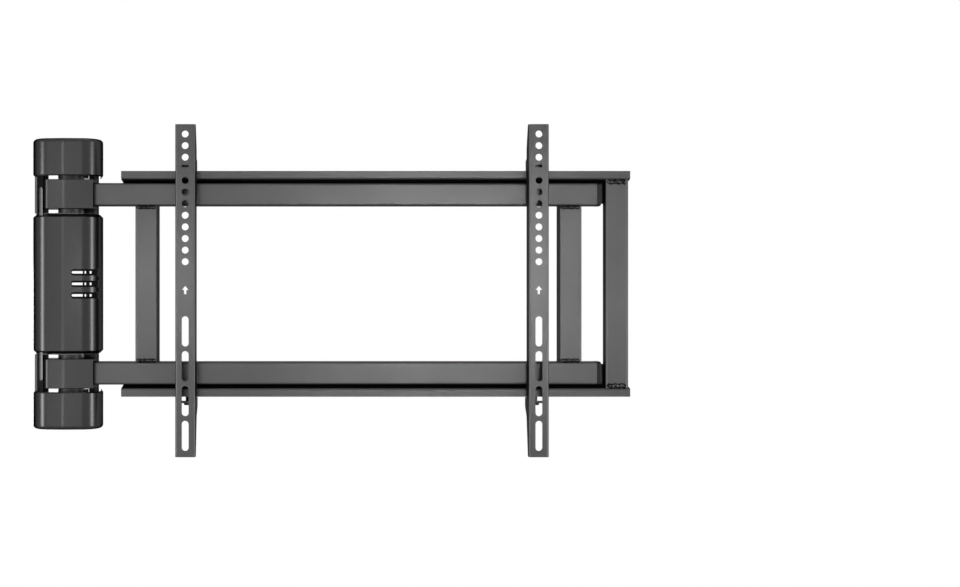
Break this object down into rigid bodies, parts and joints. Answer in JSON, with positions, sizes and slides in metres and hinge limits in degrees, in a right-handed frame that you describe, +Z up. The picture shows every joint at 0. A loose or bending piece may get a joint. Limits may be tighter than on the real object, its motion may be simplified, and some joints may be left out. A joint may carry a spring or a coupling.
{
  "type": "motorized tv wall mount",
  "caption": "Flat wall column with a geared upright hinge, a swinging tube arm, a sliding rail frame and hooked screen brackets that turn a television out from the wall",
  "frame": {"origin": "centre of the wall bolts, on the wall plane", "axes": "+Z up, +X to the right as seen from the room, +Y into the wall"},
  "size_m": [0.7842, 0.0725, 0.4302],
  "materials": {
    "black_steel": "fine black powder coat",
    "black_plastic": "satin moulded",
    "bush_plastic": "smooth",
    "bright_steel": "turned",
    "black_fastener": "black zinc",
    "component_plastic": "moulded",
    "board": "solder mask"
  },
  "bodies": {
    "wall_bracket": {"wall_channel": "black_steel", "upper_outer_bearing_plate": "black_steel", "upper_inner_bearing_plate": "black_steel", "lower_inner_bearing_plate": "black_steel", "lower_outer_bearing_plate": "black_steel", "upper_outer_bush": "bush_plastic", "upper_inner_bush": "bush_plastic", "lower_inner_bush": "bush_plastic", "lower_outer_bush": "bush_plastic", "top_cap": "black_plastic", "bottom_cap": "black_plastic", "motor_housing": "black_plastic", "cover_screws": "black_fastener", "motor_bracket": "black_steel", "shaft_foot_bush": "bush_plastic", "gearbox": "bright_steel", "motor": "bright_steel", "motor_screws": "bright_steel", "limit_switches": "component_plastic", "control_board": "board", "board_standoffs": "bright_steel", "board_screws": "bright_steel", "board_components": "component_plastic", "power_inlet": "component_plastic"},
    "arm": {"upper_knuckle": "black_steel", "lower_knuckle": "black_steel", "upper_hinge_cover": "black_plastic", "lower_hinge_cover": "black_plastic", "drive_shaft": "bright_steel", "lower_pivot_pin": "bright_steel", "shaft_rings": "bright_steel", "knuckle_pins": "bright_steel", "drive_sector": "bright_steel", "limit_cam": "bush_plastic", "upper_arm_tube": "black_steel", "lower_arm_tube": "black_steel", "left_arm_strut": "black_steel", "right_arm_strut": "black_steel", "upper_end_cap": "black_plastic", "lower_end_cap": "black_plastic"},
    "drive_pinion": {"motor_shaft": "bright_steel", "pinion": "bright_steel"},
    "tv_frame": {"upper_rail": "black_steel", "lower_rail": "black_steel", "frame_strut": "black_steel", "clamp_bolts": "black_fastener", "clamp_washers": "black_fastener", "clamp_nuts": "black_fastener"},
    "left_bracket": {"left_screen_bracket": "black_steel", "left_lock_screw": "black_fastener"},
    "right_bracket": {"right_screen_bracket": "black_steel", "right_lock_screw": "black_fastener"}
  },
  "joints": [
    {"name": "swing", "type": "hinge", "parent": "wall_bracket", "child": "arm", "pos_m": [0.007, -0.033, 0], "axis": [0, 0, -1], "range_deg": [0, 90]},
    {"name": "pinion_spin", "type": "hinge", "parent": "wall_bracket", "child": "drive_pinion", "pos_m": [-0.0185, -0.0172, 0.065], "axis": [0, 0, -1], "range_deg": [-271, 1]},
    {"name": "frame_slide", "type": "slide", "parent": "arm", "child": "tv_frame", "axis": [1, 0, 0], "range_m": [0, 0.4]},
    {"name": "left_bracket_slide", "type": "slide", "parent": "tv_frame", "child": "left_bracket", "axis": [1, 0, 0], "range_m": [-0.072, 0.2]},
    {"name": "right_bracket_slide", "type": "slide", "parent": "tv_frame", "child": "right_bracket", "axis": [1, 0, 0], "range_m": [-0.2, 0.109]}
  ],
  "couplings": [
    {"joint": "pinion_spin", "follows": "swing", "ratio": -3}
  ]
}
